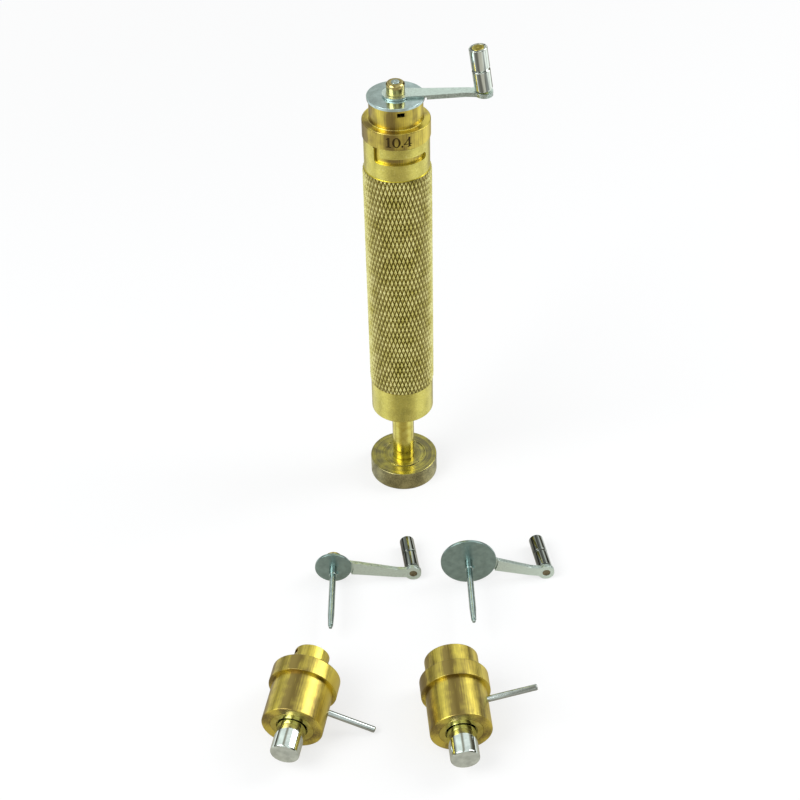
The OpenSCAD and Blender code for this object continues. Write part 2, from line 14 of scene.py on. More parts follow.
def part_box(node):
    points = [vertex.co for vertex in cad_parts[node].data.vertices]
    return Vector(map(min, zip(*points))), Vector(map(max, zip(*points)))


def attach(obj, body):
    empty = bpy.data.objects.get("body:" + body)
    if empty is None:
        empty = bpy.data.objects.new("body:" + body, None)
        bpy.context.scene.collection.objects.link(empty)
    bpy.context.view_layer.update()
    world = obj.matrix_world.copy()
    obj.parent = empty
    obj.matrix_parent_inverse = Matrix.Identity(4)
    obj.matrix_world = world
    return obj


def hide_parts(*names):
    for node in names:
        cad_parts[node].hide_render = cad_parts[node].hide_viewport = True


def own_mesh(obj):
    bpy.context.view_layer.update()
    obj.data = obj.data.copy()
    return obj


MM = 0.001
KINDS = ("main", "small", "large")

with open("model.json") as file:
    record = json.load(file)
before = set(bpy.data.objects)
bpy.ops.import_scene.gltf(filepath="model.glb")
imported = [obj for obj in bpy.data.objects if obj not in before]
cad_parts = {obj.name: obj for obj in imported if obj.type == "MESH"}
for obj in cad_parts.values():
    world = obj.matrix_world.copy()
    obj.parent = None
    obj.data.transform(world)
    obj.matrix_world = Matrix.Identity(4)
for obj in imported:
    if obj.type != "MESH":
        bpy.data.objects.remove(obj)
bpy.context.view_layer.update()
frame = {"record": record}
scene = bpy.context.scene
record = frame["record"]
body_of = {node: body for body, nodes in record["behaviour"]["bodies"].items() for node in nodes}
slides = [joint for joint in record["behaviour"]["joints"] if joint["type"] == "slide"]
travel_of = {joint["name"]: joint["range_m"][1] / MM for joint in slides}


# Camera: a long lens on a stand in front of the tool, looking down at it
CAMERA_PLACE = (-0.56, -266.7, 241.5)
CAMERA_DOWN = 39.75
CAMERA_ROLL = -1.4
LENS = 72.0
NEAREST = 10.0

camera = bpy.data.objects.new("camera", bpy.data.cameras.new("camera"))
camera.data.lens = LENS
camera.data.clip_start = NEAREST * MM
scene.collection.objects.link(camera)
camera.matrix_world = (
    Matrix.Translation(Vector(CAMERA_PLACE) * MM)
    @ Matrix.Rotation(radians(90 - CAMERA_DOWN), 4, "X")
    @ Matrix.Rotation(radians(CAMERA_ROLL), 4, "Z")
)
scene.camera = camera


# Sizes that the frame gives
def low(node):
    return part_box(node)[0] / MM


def high(node):
    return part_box(node)[1] / MM


KNOB_D = high("push_knob").x - low("push_knob").x
KNOB_H = high("push_knob").z
ROD_D = high("push_rod").x - low("push_rod").x
ROD_FOOT_Z = low("push_rod").z
ROD_TOP_Z = high("push_rod").z
FOOT_Z = low("handle_tube").z
RIM_Z = high("handle_tube").z
GRIP_R = high("handle_tube").x
END_BUSH_Z = low("end_bush").z
END_BUSH_H = high("end_bush").z - END_BUSH_Z
GUIDE_BUSH_Z = low("guide_bush").z
GUIDE_BUSH_H = high("guide_bush").z - GUIDE_BUSH_Z
BUSH_D = high("end_bush").x - low("end_bush").x
ROD_COLLAR_Z = low("rod_collar").z
ROD_COLLAR_H = high("rod_collar").z - ROD_COLLAR_Z
ROD_COLLAR_D = high("rod_collar").x - low("rod_collar").x
CRANK_Z = low("main_crank_disc").z

# Sizes of the handle
BAND_D = 13.15
BAND_H = 7.6
GRIP_H = 52.4
GRIP_EDGE = 0.2
NECK_D = 12.8
TUBE_EDGE = 0.15
SPRING_BORE_D = 9.402
PLUNGER_BORE_D = 8.002
SOCKET_D = 11.8
SOCKET_DEEP = 9.0
GRIP_Z = FOOT_Z + BAND_H
NECK_Z = GRIP_Z + GRIP_H

# The knurl: crossed grooves, counted round the grip and leaning from upright, in degrees. Its mesh has
# KNURL_STEPS from one groove to the next, and KNURL_SIDE of them down a groove's side.
KNURL_STARTS = 50
KNURL_SLOPE = 18.0
KNURL_DEEP = 0.26
KNURL_STEPS = 6
KNURL_SIDE = 2

# Bayonet slots
SLOT_W = 1.4
SLOT_TURN = 90.0
SLOT_START = 53.0
SLOT_DROP = 2.7
SLOT_Z = RIM_Z - SLOT_DROP
SLOT_FLARE = 0.35
SLOT_RUN_STEP = 3.0
SLOT_ROUND_STEP = 15

# Push knob and rod
KNOB_SEAT = 2.2
RING_D = 9.4
RING_W = 0.35
RING_DEEP = 0.2
RING_TAPER = 0.03

# Heads
COLLAR_D = 13.2
COLLAR_H = 3.5
BODY_D = 11.7
BODY_H = 8.5
HEAD_Z = low("main_head_body").z + BODY_H
CHAMBER_D = 8.307
WEB_H = 1.2
REAR_RING_H = 1.2
REAR_HOLE_D = 5.999
DRUM_WALL = 0.6
WINDOW_W = 1.45
WINDOW_H = 0.85
WINDOW_RIM = 0.45
WINDOW_TURN = 190.0
PIN_D = 1.2
PIN_OUT = 9.5
PIN_SEAT = 1.3
PIN_DROP = 2.75
PLUNGER_D = 5.499
PLUNGER_OUT = 5.9
FLANGE_H = 1.0
STEM_D = 3.2
STEM_END_D = 2.4
EJECTOR_H = 0.6
EJECTOR_GAP = 0.1
ARBOR_BORE_DEEP = 9.8
DRUM_D = {"main": 10.4, "small": 6.8, "large": 10.35}
DRUM_H = {"main": 4.1, "small": 4.7, "large": 4.4}

# The number on the fitted head's collar, which gives the drum's size
NUMBER_H = 2.1
NUMBER_THICK = 0.42
NUMBER_THIN = 0.17
NUMBER_DEEP = 0.09
NUMBER_TURN = 183.4
NUMBER_PLACES = (-1.95, -0.45, 0.65, 1.8)
ONE_FLAG_W = 0.45
ONE_FLAG_DROP = 0.4
ONE_FOOT_W = 1.0
NOUGHT_W = 1.2
NOUGHT_STEPS = 32
DOT_W = 0.36
DOT_H = 0.4
FOUR_STEM_X = 0.25
FOUR_FOOT_W = 0.8
FOUR_BAR_Z = -0.45
FOUR_BAR_XS = (-0.85, -0.3, 0.25, 0.75)
FOUR_SLOPE_XS = (0.25, -0.35, -0.75)

# Cranks
ARBOR_D = 1.3
ARBOR_LEN = 16.8
ARBOR_TAPER = 3.0
ARBOR_TIP_D = 1.0
PILOT_D = 0.7
PILOT_LEN = 0.6
CORE_D = 1.65
CORE_LEN = 2.2
HOOK_OUT = 0.3
HOOK_H = 0.8
HOOK_DROP = 1.2
ARBOR_PROUD = 0.1
ARBOR_MARK = 0.2
DISC_H = 0.6
DISC_D = {"main": 11.1, "small": 7.5, "large": 11.4}
HUB_D = 3.6
HUB_EDGE = 0.3
HUB_H = 2.2
ARM_REACH = 16.6
ARM_H = 0.9
ARM_RELIEF = 0.45
ARM_BOSS_D = 5.2
ARM_ROOT_W = 3.6
ARM_MID_W = 2.9
ARM_END_W = 2.1
ARM_SET = 0.3
EYE_D = 3.4
CRANK_KNOB_D = {"main": 3.5, "small": 3.0, "large": 3.0}
CRANK_KNOB_H = 8.7
KNOB_LEAN = 8.0
GROOVE_DEEP = 0.35
GROOVE_W = 0.5
FOOT_DEEP = 0.2
FOOT_H = 0.3
AXLE_D = 1.6
AXLE_HEAD_D = 2.3
AXLE_HEAD_H = 0.6
AXLE_MARK = 0.15
RIVET_DIP_D = 1.2
RIVET_DEEP = 0.35

# Places of the spares: x and y, and how each is turned on the floor in degrees. A head is also rolled.
HEAD_SPOT = {"small": (-20.3, -69.2, -12.0), "large": (8.6, -71.1, 4.5)}
HEAD_ROLL = {"main": 90.0, "small": 21.5, "large": -15.5}
CRANK_SPOT = {"small": (-15.2, -34.7, -1.0), "large": (12.7, -35.8, 0.5)}

# Springs: wire, mean diameter and curls
RETURN_SPRING = (0.5, 6.4, 14)
HEAD_SPRING = (0.4, 6.207, 6)

# Roundings, from an edge that is only broken to one that shows
BROKEN = 0.05
EASED = 0.1
ROUNDED = 0.25
PLUNGER_EDGE = 0.45

# Fits
RUNNING_GAP = 0.05
FIXED_GAP = 0.02
FACE_GAP = 0.05

# How fine the meshes are
ROUND = 160
FINE_ROUND = 96
CORNER_STEPS = 4
BEVEL_STEPS = 2
WIRE_SIDES = 12
CURL_STEPS = 36
ARM_STEPS = 24
BOSS_TURNS = range(6, 150, 6)
EYE_TURNS = range(36, 176, 7)

# Where shading breaks, and the weight that large faces have in it
SHARP = radians(32)
FLAT_FIRST = 100

# How far a cut goes past the face that it cuts, and how near to each other equal heights lie
OVERRUN = 0.5
HAIR = 1e-6

# A piece's second finish, on knurled or engraved faces, which stay faceted
FACETED = 1


# Places
def placed(shift, turn=(0, 0, 0)):
    """A place: turned about x, y and z in degrees, and shifted in millimetres."""
    turned_only = Euler([radians(a) for a in turn], "XYZ").to_matrix().to_4x4()
    return Matrix.Translation(Vector(shift) * MM) @ turned_only


ON_AXIS = placed((0, 0, 0))
HEAD_TIP = degrees(atan2(COLLAR_D - BODY_D, 2 * BODY_H))
HEAD_REST_Z = COLLAR_D / 2 * cos(radians(HEAD_TIP)) + FACE_GAP
CRANK_TIP = degrees(atan2(EYE_D - CRANK_KNOB_D["small"], 2 * CRANK_KNOB_H))


def head_place(kind):
    """Where a head stands or lies. Its roll turns the body and the pin alone, as the rest is round."""
    if kind == "main":
        return placed((0, 0, HEAD_Z))
    x, y, yaw = HEAD_SPOT[kind]
    return placed((x, y, HEAD_REST_Z), (HEAD_TIP - 90, 0, yaw))


def head_roll(kind):
    return placed((0, 0, 0), (0, 0, HEAD_ROLL[kind]))


def crank_place(kind):
    if kind == "main":
        return placed((0, 0, CRANK_Z))
    x, y, yaw = CRANK_SPOT[kind]
    lean = degrees(asin((DISC_D[kind] - EYE_D) / 2 / ARM_REACH))
    rest_z = DISC_D[kind] / 2 + DISC_H * sin(radians(CRANK_TIP)) + FACE_GAP
    return placed((x, y, rest_z), (-90 - CRANK_TIP, lean, yaw))


ARM_FOOT_Z = DISC_H + FIXED_GAP - ARM_RELIEF
ARM_TOP_Z = ARM_FOOT_Z + ARM_H
HUB_TOP_Z = ARM_TOP_Z + FIXED_GAP + HUB_H
EYE_PLACE = placed((ARM_REACH, 0, ARM_FOOT_Z + ARM_H / 2), (0, -KNOB_LEAN, 0))


def axle_place(kind):
    return crank_place(kind) @ EYE_PLACE


def knob_foot_z(kind):
    rise = (CRANK_KNOB_D[kind] / 2 - FOOT_DEEP) * sin(radians(KNOB_LEAN))
    return (ARM_H / 2 + FACE_GAP + rise) / cos(radians(KNOB_LEAN))


# Meshes
def rounded(outline):
    """The outline's points, each (across, up, rounding), with its corners rounded off."""
    points = []
    for i, (x, z, cut) in enumerate(outline):
        here = Vector((x, z))
        if cut == 0:
            points.append(here)
            continue
        start = here + (Vector(outline[i - 1][:2]) - here).normalized() * cut
        end = here + (Vector(outline[(i + 1) % len(outline)][:2]) - here).normalized() * cut
        for k in range(CORNER_STEPS + 1):
            t = k / CORNER_STEPS
            points.append(start * (1 - t) ** 2 + here * 2 * t * (1 - t) + end * t * t)
    return points


def ring(bm, radius, z, sides):
    """A ring of corners round the axis, or the one corner on it."""
    if radius == 0:
        return [bm.verts.new((0, 0, z * MM))]
    turns = [2 * pi * i / sides for i in range(sides)]
    return [bm.verts.new((radius * cos(a) * MM, radius * sin(a) * MM, z * MM)) for a in turns]


def join(bm, first, second):
    """Faces between two rings."""
    sides = max(len(first), len(second))
    if sides == 1:
        return
    for i in range(sides):
        corners = []
        for ring_of, k in ((first, i), (first, i + 1), (second, i + 1), (second, i)):
            corner = ring_of[k % len(ring_of)]
            if corner not in corners:
                corners.append(corner)
        bm.faces.new(corners)


def turned(outline, sides=ROUND):
    """A turned solid from its closed outline of (radius, height, rounding)."""
    bm = bmesh.new()
    rings = [ring(bm, point.x, point.y, sides) for point in rounded(outline)]
    for first, second in zip(rings, rings[1:] + rings[:1]):
        join(bm, first, second)
    bmesh.ops.recalc_face_normals(bm, faces=bm.faces)
    return bm


def lofted(sections, endless=False):
    """A closed solid through sections of as many points each, in millimetres."""
    bm = bmesh.new()
    loops = [[bm.verts.new(Vector(point) * MM) for point in section] for section in sections]
    for first, second in zip(loops, loops[1:]):
        join(bm, first, second)
    if endless:
        join(bm, loops[-1], loops[0])
    else:
        bm.faces.new(loops[0])
        bm.faces.new(loops[-1])
    bmesh.ops.recalc_face_normals(bm, faces=bm.faces)
    return bm


def plate(outline, foot, top):
    """A flat plate from its outline of (x, y)."""
    return lofted([[(x, y, z) for x, y in outline] for z in (foot, top)])


def link(name, bm, finishes):
    """A thing in the scene from its mesh. A face's material is its place among the finishes."""
    mesh = bpy.data.meshes.new(name)
    for finish in finishes:
        mesh.materials.append(finish)
    bm.to_mesh(mesh)
    bm.free()
    made = bpy.data.objects.new(name, mesh)
    scene.collection.objects.link(made)
    return made


def settle(thing):
    """Makes the thing's modifiers part of its mesh."""
    shaped = thing.evaluated_get(bpy.context.evaluated_depsgraph_get())
    mesh = bpy.data.meshes.new_from_object(shaped)
    thing.modifiers.clear()
    thing.data = mesh


def carve(thing, tool, operation="DIFFERENCE"):
    """Cuts a tool's mesh out of the thing, or joins it on."""
    cutter = link("cutter", tool, thing.data.materials)
    change = thing.modifiers.new("carve", "BOOLEAN")
    change.operation = operation
    change.solver = "MANIFOLD"
    change.object = cutter
    settle(thing)
    bpy.data.objects.remove(cutter)


def bevel(thing, width):
    change = thing.modifiers.new("bevel", "BEVEL")
    change.width = width * MM
    change.segments = BEVEL_STEPS
    change.limit_method = "ANGLE"
    change.angle_limit = SHARP
    settle(thing)


def shade(thing):
    """Smooth faces that break at sharp edges, with flat faces kept flat by weighted normals."""
    bm = bmesh.new()
    bm.from_mesh(thing.data)
    for face in bm.faces:
        face.smooth = face.material_index != FACETED
    for edge in bm.edges:
        edge.smooth = edge.calc_face_angle(0) < SHARP
    bm.to_mesh(thing.data)
    bm.free()
    change = thing.modifiers.new("normals", "WEIGHTED_NORMAL")
    change.weight = FLAT_FIRST
    change.keep_sharp = True
    settle(thing)


def fit(node, thing, place):
    """Puts a finished piece where its node is, in that node's body."""
    thing.name = node + "_finished"
    thing.data.name = thing.name
    thing.matrix_world = place
    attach(thing, body_of[node])
    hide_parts(node)
    return thing


def piece(node, bm, place, finish):
    """A piece from its mesh alone."""
    thing = link(node, bm, [finish])
    shade(thing)
    return fit(node, thing, place)


# Shading
class Wire:
    """What a node gives out. Sums on wires add Math nodes."""

    def __init__(self, tree, socket=None):
        self.tree = tree
        self.socket = socket

    def node(self, kind, settings=None, sockets=None, out=0):
        """Adds a node, its settings first and then its sockets, and gives one of its outputs."""
        made = self.tree.nodes.new("ShaderNode" + kind)
        for name, value in (settings or {}).items():
            if name == "stops":
                stops = made.color_ramp.elements
                for i, (position, colour) in enumerate(value):
                    stop = stops[i] if i < 2 else stops.new(position)
                    stop.position = position
                    stop.color = colour
            else:
                setattr(made, name, value)
        for name, value in (sockets or {}).items():
            if isinstance(value, Wire):
                self.tree.links.new(value.socket, made.inputs[name])
            else:
                made.inputs[name].default_value = value
        return Wire(self.tree, made.outputs[out] if made.outputs else None)

    def sum(self, operation, first, second):
        return self.node("Math", {"operation": operation}, {0: first, 1: second})

    def __add__(self, other):
        return self.sum("ADD", self, other)

    def __radd__(self, other):
        return self.sum("ADD", other, self)

    def __sub__(self, other):
        return self.sum("SUBTRACT", self, other)

    def __rsub__(self, other):
        return self.sum("SUBTRACT", other, self)

    def __mul__(self, other):
        return self.sum("MULTIPLY", self, other)

    def __rmul__(self, other):
        return self.sum("MULTIPLY", other, self)

    def __pow__(self, other):
        return self.sum("POWER", self, other)

    def __rpow__(self, other):
        return self.sum("POWER", other, self)


def ramp(value, start, end):
    """0 where the value is at start, 1 where it is at end, and straight between."""
    return value.node("MapRange", {}, {0: value, 1: start, 2: end, 3: 0.0, 4: 1.0})


def mixed(factor, first, second):
    """A colour between two others."""
    return factor.node("Mix", {"data_type": "RGBA"}, {0: factor, 6: first, 7: second}, 2)


def coordinates(start):
    """The piece's own x, y and z in millimetres."""
    spot = start.node("TexCoord", out=3)
    return [start.node("SeparateXYZ", {}, {0: spot}, out=i) * (1 / MM) for i in range(3)]


def from_axis(x, y):
    """The distance from the piece's axis in millimetres."""
    return (x * x + y * y) ** 0.5


def noise(x, y, z, scale, detail=2.0):
    """Noise from 0 to 1 at these coordinates in millimetres, scale in features a millimetre."""
    spot = x.node("CombineXYZ", {}, {0: x, 1: y, 2: z})
    return x.node("TexNoise", {}, {"Vector": spot, "Scale": scale, "Detail": detail})


def emptied(owner):
    """The start of a material's or the world's own nodes, with none made yet."""
    owner.use_nodes = True
    owner.node_tree.nodes.clear()
    return Wire(owner.node_tree)


def metal(name, paint):
    """A metal finish. paint(start) gives its colour, its roughness and its bump's height and depth."""
    finish = bpy.data.materials.new(name)
    start = emptied(finish)
    sockets = paint(start)
    height, depth = sockets.pop("Bump")
    relief = {"Height": height, "Distance": depth * MM, "Strength": 1.0}
    sockets["Normal"] = start.node("Bump", {}, relief)
    shader = start.node("BsdfPrincipled", {}, {"Metallic": 1.0, **sockets})
    start.node("OutputMaterial", {}, {"Surface": shader})
    return finish


# Colours of the finishes
BRASS = (0.62, 0.56, 0.14)
# The next colour is painted shade, for the knurl's hollows
HOLLOW_SHADE_BRASS = (0.34, 0.265, 0.07)
PALE_BRASS = (0.80, 0.77, 0.37)
GOLD_BRASS = (0.65, 0.54, 0.10)
DULL_BRASS = (0.38, 0.345, 0.17)
# The dark end of the heads' bands, partly painted shade
DARK_BAND_BRASS = (0.28, 0.21, 0.065)
STEEL = (0.74, 0.82, 0.79)
PLATING = (0.78, 0.92, 0.86)
DRAWN_STEEL = (0.5, 0.55, 0.54)
GROUND_STEEL = (0.52, 0.66, 0.665)
GREY_STEEL = (0.30, 0.41, 0.395)
ARBOR_STEEL = (0.46, 0.57, 0.56)
SPRING_STEEL = (0.4, 0.42, 0.44)
BRIGHT_KNOB = (0.72, 0.78, 0.73)
DARK_KNOB = (0.38, 0.41, 0.38)
HUB_BRASS = (0.46, 0.385, 0.15)
# The rivet's dark colour is painted shade, for the dark hole at a spare crank's eye
SHADED_RIVET = (0.22, 0.19, 0.12)
DARK_LINES = (0.08, 0.055, 0.02)

# How slowly lines, rings and streaks change along themselves, as shares of how they change across
LINE_OUT_SHARE = 0.1
LINE_ROUND_SHARE = 0.02
RING_ROUND_SHARE = 0.015
RING_UP_SHARE = 0.2
BARREL_SHARE = 0.05
KNOB_REFLECTION_STREAK_SHARE = 0.04

# How much of a speck's colour shows, where the knurl goes from its bright tips to the painted shade of its
# hollows, and where the push knob's top goes over into its side
SPECK_SHARE = 0.5
TIP_WEAR = 0.1
HOLLOW_SHARE = 0.9
RIM_FROM = 0.08
RIM_TO = 0.03


def rgba(colour, share=1.0):
    return (*[c * share for c in colour], 1.0)


def turning_lines(x, z, radius, scale):
    """Noise in fine rings round the axis, as a turning tool leaves them."""
    return noise(radius * LINE_OUT_SHARE, x * LINE_ROUND_SHARE, z, scale)


def plain_brass(start):
    """Neck and foot: fine turning lines, a faint mottle and small pale specks."""
    x, y, z = coordinates(start)
    radius = from_axis(x, y)
    lines = turning_lines(x, z, radius, scale=14.0)
    mottle = noise(x, y, z, scale=0.5, detail=4.0)
    specks = noise(x, y, z, scale=3.2, detail=3.0)
    worn = mixed(ramp(mottle * 0.5 + specks * 0.5, 0.36, 0.64), rgba(BRASS, 0.9), rgba(BRASS, 1.25))
    return {
        "Base Color": mixed(ramp(specks, 0.6, 0.72) * SPECK_SHARE, worn, rgba(PALE_BRASS)),
        "Roughness": 0.22 + lines * 0.14 + mottle * 0.08,
        "Bump": (lines + mottle * 0.6, 0.004),
    }


def smooth_brass(start):
    """Rod, bushes and rings: turned and left bright."""
    x, y, z = coordinates(start)
    radius = from_axis(x, y)
    lines = turning_lines(x, z, radius, scale=10.0)
    mottle = noise(x, y, z, scale=0.8, detail=4.0)
    return {
        "Base Color": mixed(ramp(mottle, 0.35, 0.65), rgba(GOLD_BRASS, 0.8), rgba(BRASS, 1.08)),
        "Roughness": 0.12 + lines * 0.1,
        "Bump": (lines, 0.003),
    }


def knurled_brass(start):
    """The grip: bright tips, and painted shade in the hollows between them."""
    x, y, z = coordinates(start)
    radius = from_axis(x, y)
    # Painted shade: the knurl is coloured darker the deeper it goes, for the shade in its hollows
    hollow_shade = ramp(radius, GRIP_R - TIP_WEAR, GRIP_R - KNURL_DEEP * HOLLOW_SHARE)
    mottle = noise(x, y, z, scale=0.4, detail=4.0)
    grain = noise(x, y, z, scale=6.0, detail=3.0)
    worn = ramp(grain * 0.5 + mottle * 0.5, 0.38, 0.62)
    shaded_hollow = mixed(worn, rgba(HOLLOW_SHADE_BRASS, 0.4), rgba(HOLLOW_SHADE_BRASS, 0.95))
    tip = mixed(worn, rgba(BRASS, 1.0), rgba(PALE_BRASS, 1.22))
    return {
        "Base Color": mixed(hollow_shade, tip, shaded_hollow),
        "Roughness": 0.2 + grain * 0.16 + hollow_shade * 0.12,
        "Bump": (grain, 0.012),
    }


def turned_brass(start):
    """Push knob: turned rings and stains on the top, matt and dull sides."""
    x, y, z = coordinates(start)
    radius = from_axis(x, y)
    rings = noise(radius, x * RING_ROUND_SHARE, z * RING_UP_SHARE, scale=3.2, detail=3.0)
    stains = noise(x, y, z, scale=0.45, detail=4.0)
    grain = noise(x, y, z, scale=4.0, detail=3.0)
    side = ramp(radius, KNOB_D / 2 - RIM_FROM, KNOB_D / 2 - RIM_TO)
    face_tone = ramp(rings * 0.45 + stains * 0.55, 0.4, 0.6)
    side_tone = ramp(stains * 0.5 + grain * 0.5, 0.4, 0.6)
    face = mixed(face_tone, rgba(DULL_BRASS, 0.62), rgba(BRASS, 0.88))
    edge = mixed(side_tone, rgba(DULL_BRASS, 0.5), rgba(DULL_BRASS, 1.15))
    return {
        "Base Color": mixed(side, face, edge),
        "Roughness": 0.14 + rings * 0.2 + side * 0.2,
        "Bump": (rings * (1 - side) + grain * side, 0.02),
    }


def lapped_brass(start):
    """Heads: satin, with soft bands of random tone that are strong enough to be partly painted shade, and
    fine streaks along the barrel.
    """
    x, y, z = coordinates(start)
    tone_and_shade_bands = noise(x, y, z * BARREL_SHARE, scale=0.22, detail=1.0)
    streaks = noise(x, y, z * BARREL_SHARE, scale=4.0, detail=3.0)
    mottle = noise(x, y, z, scale=0.5, detail=4.0)
    # Partly painted shade: the random bands are strong, so that they also stand in for shade on the barrel
    tone = ramp(tone_and_shade_bands * 0.6 + streaks * 0.2 + mottle * 0.2, 0.42, 0.58)
    return {
        "Base Color": mixed(tone, rgba(DARK_BAND_BRASS), rgba(GOLD_BRASS, 1.25)),
        "Roughness": 0.26 + streaks * 0.16,
        "Bump": (streaks, 0.003),
    }


def brushed(colour, low_rough, high_rough, scale=6.0, depth=0.004):
    """Plain metals with fine marks, between a low and a high roughness."""
    def paint(start):
        x, y, z = coordinates(start)
        marks = noise(x, y, z, scale, detail=4.0)
        mottle = noise(x, y, z, scale=0.7, detail=4.0)
        return {
            "Base Color": mixed(ramp(mottle, 0.35, 0.65), rgba(colour, 0.84), rgba(colour, 1.1)),
            "Roughness": low_rough + marks * (high_rough - low_rough),
            "Bump": (marks, depth),
        }
    return paint


def reflection_streaked(colour):
    """Crank knobs: plated, with darker streaks along them that are painted reflections."""
    def paint(start):
        x, y, z = coordinates(start)
        streaks = noise(x, y, z * KNOB_REFLECTION_STREAK_SHARE, scale=1.1)
        marks = noise(x, y, z, scale=6.0, detail=3.0)
        return {
            # Painted reflection: the dark streaks stand in for what the polished knob mirrors
            "Base Color": mixed(ramp(streaks, 0.42, 0.56), rgba(colour, 0.3), rgba(colour, 1.1)),
            "Roughness": 0.06 + marks * 0.08,
            "Bump": (marks, 0.002),
        }
    return paint


def grained(start):
    """Arms: plated faces, and grainy sides coloured darker as painted shade."""
    x, y, z = coordinates(start)
    grain = noise(x, y, z, scale=5.0, detail=3.0)
    fine = noise(x, y, z, scale=16.0)
    tone = ramp(grain * 0.6 + fine * 0.4, 0.38, 0.62)
    normal = start.node("TexCoord", out=1)
    upright = start.node("SeparateXYZ", {}, {0: normal}, out=2)
    # Painted shade: faces that turn away from upright, the arm's sides, take the darker colour
    edge = ramp(upright * upright, 0.5, 0.2)
    face_colour = mixed(tone, rgba(PLATING, 0.76), rgba(PLATING, 1.06))
    shaded_side_colour = mixed(tone, rgba(PLATING, 0.3), rgba(PLATING, 0.85))
    return {
        "Base Color": mixed(edge, face_colour, shaded_side_colour),
        "Roughness": 0.2 + grain * 0.25,
        "Bump": (grain + fine * 0.5, 0.035),
    }


FINISH = {
    "neck": metal("neck_brass", plain_brass),
    "knurl": metal("grip_brass", knurled_brass),
    "knob": metal("ringed_brass", turned_brass),
    "head": metal("satin_brass", lapped_brass),
    "small_brass": metal("small_brass", smooth_brass),
    "engraved": metal("darkened_engraving", brushed(DARK_LINES, 0.5, 0.7)),
    "chrome": metal("mirror_steel", brushed(STEEL, 0.05, 0.09, scale=2.0, depth=0.0002)),
    "pin": metal("drawn_steel", brushed(DRAWN_STEEL, 0.06, 0.16)),
    "disc": metal("ground_steel", brushed(GROUND_STEEL, 0.1, 0.2)),
    "dark_disc": metal("grey_steel", brushed(GREY_STEEL, 0.24, 0.42, scale=3.0, depth=0.01)),
    "arbor": metal("arbor_wire", brushed(ARBOR_STEEL, 0.12, 0.26)),
    "arm": metal("arm_plating", grained),
    "crank_knob": metal("bright_plating", reflection_streaked(BRIGHT_KNOB)),
    "spare_knob": metal("dark_plating", reflection_streaked(DARK_KNOB)),
    "hub": metal("hub_brass", brushed(HUB_BRASS, 0.08, 0.2)),
    # Painted shade: the spares' rivets are dark for the hole at the eye
    "rivet": metal("shaded_rivet", brushed(SHADED_RIVET, 0.2, 0.35)),
    "spring": metal("spring_wire", brushed(SPRING_STEEL, 0.2, 0.4)),
}


# Handle
def knurl_depth(k, j):
    """Depth of the knurl at step k round the grip and step j up it."""
    nearest = KNURL_STEPS
    for steps in ((k + j) % KNURL_STEPS, (k - j) % KNURL_STEPS):
        nearest = min(nearest, steps, KNURL_STEPS - steps)
    return KNURL_DEEP * max(0.0, 1 - nearest / KNURL_SIDE)


def knurl_quad(bm, corners, k, j):
    """One step of the knurl as two triangles that meet along its groove or its edge."""
    rising = (k + j + 1) % KNURL_STEPS
    falling = (k - j) % KNURL_STEPS
    a, b, c, d = corners
    if min(rising, KNURL_STEPS - rising) < min(falling, KNURL_STEPS - falling):
        pair = ((a, b, d), (b, c, d))
    else:
        pair = ((a, b, c), (a, c, d))
    for corner in pair:
        bm.faces.new(corner).material_index = FACETED


def knurled_grip(bm, sides):
    """The grip's rings of corners from its foot up, and the faces between them."""
    pitch = pi * GRIP_R / KNURL_STARTS / tan(radians(KNURL_SLOPE))
    rows = round(GRIP_H / (2 * pitch) * KNURL_STEPS)
    rings = []
    for j in range(rows + 1):
        z = GRIP_Z + GRIP_H * j / rows
        edge = GRIP_EDGE if j in (0, rows) else 0
        corners = []
        for k in range(sides):
            r = GRIP_R - max(knurl_depth(k, j), edge)
            a = 2 * pi * k / sides
            corners.append(bm.verts.new((r * cos(a) * MM, r * sin(a) * MM, z * MM)))
        rings.append(corners)
    for j, (lower, upper) in enumerate(zip(rings, rings[1:])):
        for k in range(sides):
            n = (k + 1) % sides
            knurl_quad(bm, (lower[k], lower[n], upper[n], upper[k]), k, j)
    return rings


def handle_tube():
    outline = [
        (SPRING_BORE_D / 2, FOOT_Z, EASED), (BAND_D / 2, FOOT_Z, ROUNDED), (BAND_D / 2, GRIP_Z, 0),
        (NECK_D / 2, NECK_Z, 0), (NECK_D / 2, RIM_Z, TUBE_EDGE), (SOCKET_D / 2, RIM_Z, BROKEN),
        (SOCKET_D / 2, RIM_Z - SOCKET_DEEP, 0), (PLUNGER_BORE_D / 2, RIM_Z - SOCKET_DEEP, 0),
        (PLUNGER_BORE_D / 2, GUIDE_BUSH_Z + GUIDE_BUSH_H, 0),
        (SPRING_BORE_D / 2, GUIDE_BUSH_Z + GUIDE_BUSH_H, 0),
    ]
    points = rounded(outline)
    split = next(i for i, point in enumerate(points) if abs(point.y - GRIP_Z) < HAIR) + 1
    bm = bmesh.new()
    sides = KNURL_STARTS * KNURL_STEPS
    below = [ring(bm, point.x, point.y, sides) for point in points[:split]]
    grip = knurled_grip(bm, sides)
    above = [ring(bm, point.x, point.y, sides) for point in points[split:]]
    for run in (below + grip[:1], grip[-1:] + above + below[:1]):
        for first, second in zip(run, run[1:]):
            join(bm, first, second)
    bmesh.ops.recalc_face_normals(bm, faces=bm.faces)
    thing = link("handle_tube", bm, [FINISH["neck"], FINISH["knurl"]])
    for half_turn in (0, 180):
        for tool in slot_tools(SLOT_START + half_turn):
            carve(thing, tool)
    shade(thing)
    fit("handle_tube", thing, ON_AXIS)


def slot_round(first, last):
    """Points of (across, up) round a slot's end, at turns from straight down that stop before the last."""
    turns = [radians(a) for a in range(first, last, SLOT_ROUND_STEP)]
    return [(SLOT_W / 2 * sin(a), SLOT_Z - SLOT_W / 2 * cos(a)) for a in turns]


